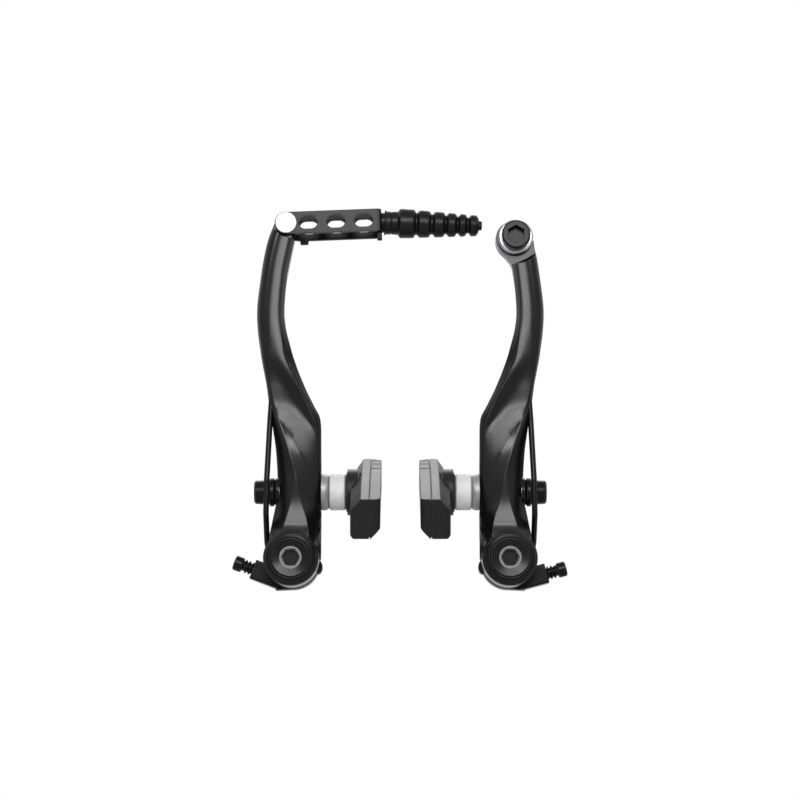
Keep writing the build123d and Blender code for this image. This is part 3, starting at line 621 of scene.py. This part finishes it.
def face_front(z, edge, top):
    """A row of the shell's front as (outwards, depth, height), leaning into the recess near the top."""
    lean = max(0.0, (z - top + TOP_RUN) / TOP_RUN)
    level = face_row(z)
    if not lean:
        return [(p.x, p.y, z) for p in level]
    front = []
    for i, p in enumerate(level):
        height = z + lean * (edge(p.x) - TOP_GAP - top)
        moved = face_row(height)[i]
        front.append((moved.x, moved.y, height))
    return front


def arm_face(side, edge, top):
    """The sculpted front of an arm: a thin closed shell over the solid's, side -1 left and +1 right."""
    bm = bmesh.new()
    rows = int(top)
    rings = []
    for r in range(rows + 1):
        front = face_front(FACE_START + (top - FACE_START) * r / rows, edge, top)
        outer, outer_depth, outer_height = front[0]
        inner, inner_depth, inner_height = front[-1]
        outer_depth -= FACE_WRAP
        inner_depth -= FACE_WRAP
        ring = [(outer, outer_depth, outer_height), *front, (inner, inner_depth, inner_height)]
        ring.append((inner + FACE_INSET, inner_depth, inner_height))
        ring.append((outer - FACE_INSET, outer_depth, outer_height))
        rings.append([bm.verts.new(Vector((side * (PIVOT_HALF + o), -d, h)) * MM) for o, d, h in ring])
    skin(bm, rings)
    return bm


for (side, word), edge, top in zip(SIDES, (left_edge, right_edge), (LEFT_TOP, RIGHT_TOP)):
    face = add_mesh(word + "_arm_face", arm_face(side, edge, top), "black_paint")
    face.data.set_sharp_from_angle(angle=CREASE_ANGLE)
    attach(face, word + "_lever")


# Stage, light and camera, in metres

FLOOR_Z = -0.13
FLOOR_HALF = 4.0
FLOOR_COLOUR = (0.85, 0.85, 0.85, 1)
FLOOR_ROUGH = 0.9
FLOOR_WHITE = 0.6
WORLD_COLOUR = (1, 1, 1, 1)
WORLD_LIGHT = 0.28
WORLD_SEEN = 1.0
LAMP_AIM = Vector((0, -0.008, 0.05))
# Name, place, width and height, and watts
LAMPS = (
    ("front_box", (0.0, -0.9, 0.25), (0.36, 0.12), 2.8),
    ("upper_box", (0.0, -0.7, 0.36), (0.3, 0.1), 2.2),
    ("back_box", (0.0, 0.6, 0.6), (0.5, 0.3), 2.5),
    ("side_box", (-0.42, -0.55, 0.42), (0.1, 0.12), 1.6),
    ("side_box", (0.42, -0.55, 0.42), (0.1, 0.12), 1.6),
)
LOOK_UP = math.radians(8.7)
CAMERA_TARGET = Vector((-0.00012, 0.0, 0.0515))
CAMERA_DISTANCE = 0.8
CLIP_START = 0.05
SENSOR_MM = 36.0
FOCAL_PX = 2536.0
IMAGE_PX = 800.0


def seen_directly(tree):
    """1 for rays from the camera, also by way of a reflection or a clear piece, and 0 for others."""
    path = tree.nodes.new("ShaderNodeLightPath").outputs
    seen = math_node(tree, "MAXIMUM", path["Is Camera Ray"], path["Is Glossy Ray"])
    return math_node(tree, "MAXIMUM", seen, path["Is Transmission Ray"])


def add_floor():
    """A pale floor that is nearer white where it is seen, and keeps part of the shadow."""
    bm = bmesh.new()
    bmesh.ops.create_grid(bm, x_segments=1, y_segments=1, size=FLOOR_HALF)
    mesh = bpy.data.meshes.new("floor")
    bm.to_mesh(mesh)
    bm.free()
    pale = bpy.data.materials.new("pale_floor")
    pale.use_nodes = True
    tree = pale.node_tree
    paint = tree.nodes["Principled BSDF"]
    feed(tree, paint, {"Base Color": FLOOR_COLOUR, "Roughness": FLOOR_ROUGH})
    share = math_node(tree, "MULTIPLY", seen_directly(tree), FLOOR_WHITE)
    white = tree.nodes.new("ShaderNodeEmission")
    mix_shaders(tree, share, paint.outputs["BSDF"], white.outputs["Emission"], tree.nodes["Material Output"])
    mesh.materials.append(pale)
    floor = add_object("floor", mesh)
    floor.location.z = FLOOR_Z


def add_world():
    """A soft light from all round, which is white where it is seen."""
    world = bpy.data.worlds.new("studio")
    bpy.context.scene.world = world
    world.use_nodes = True
    tree = world.node_tree
    tree.nodes.clear()
    light, white = [
        add_node(tree, "Background", {"Color": WORLD_COLOUR, "Strength": strength}).outputs["Background"]
        for strength in (WORLD_LIGHT, WORLD_SEEN)
    ]
    mix_shaders(tree, seen_directly(tree), light, white, tree.nodes.new("ShaderNodeOutputWorld"))


def add_softbox(name, place, size, watts):
    """A rectangular lamp turned to the brake."""
    light = bpy.data.lights.new(name, "AREA")
    light.shape = "RECTANGLE"
    light.size, light.size_y = size
    light.energy = watts
    lamp = add_object(name, light)
    lamp.location = place
    lamp.rotation_euler = (LAMP_AIM - Vector(place)).to_track_quat("-Z", "Y").to_euler()


def add_camera():
    """The photograph's camera, which looks up at the brake from below its middle."""
    lens = bpy.data.cameras.new("camera")
    lens.sensor_width = SENSOR_MM
    lens.lens = FOCAL_PX * SENSOR_MM / IMAGE_PX
    lens.clip_start = CLIP_START
    gaze = Vector((0, math.cos(LOOK_UP), math.sin(LOOK_UP)))
    camera = add_object("camera", lens)
    camera.location = CAMERA_TARGET - CAMERA_DISTANCE * gaze
    camera.rotation_euler = gaze.to_track_quat("-Z", "Y").to_euler()
    bpy.context.scene.camera = camera


add_floor()
add_world()
for lamp in LAMPS:
    add_softbox(*lamp)
add_camera()
bpy.context.scene.view_settings.view_transform = "Standard"
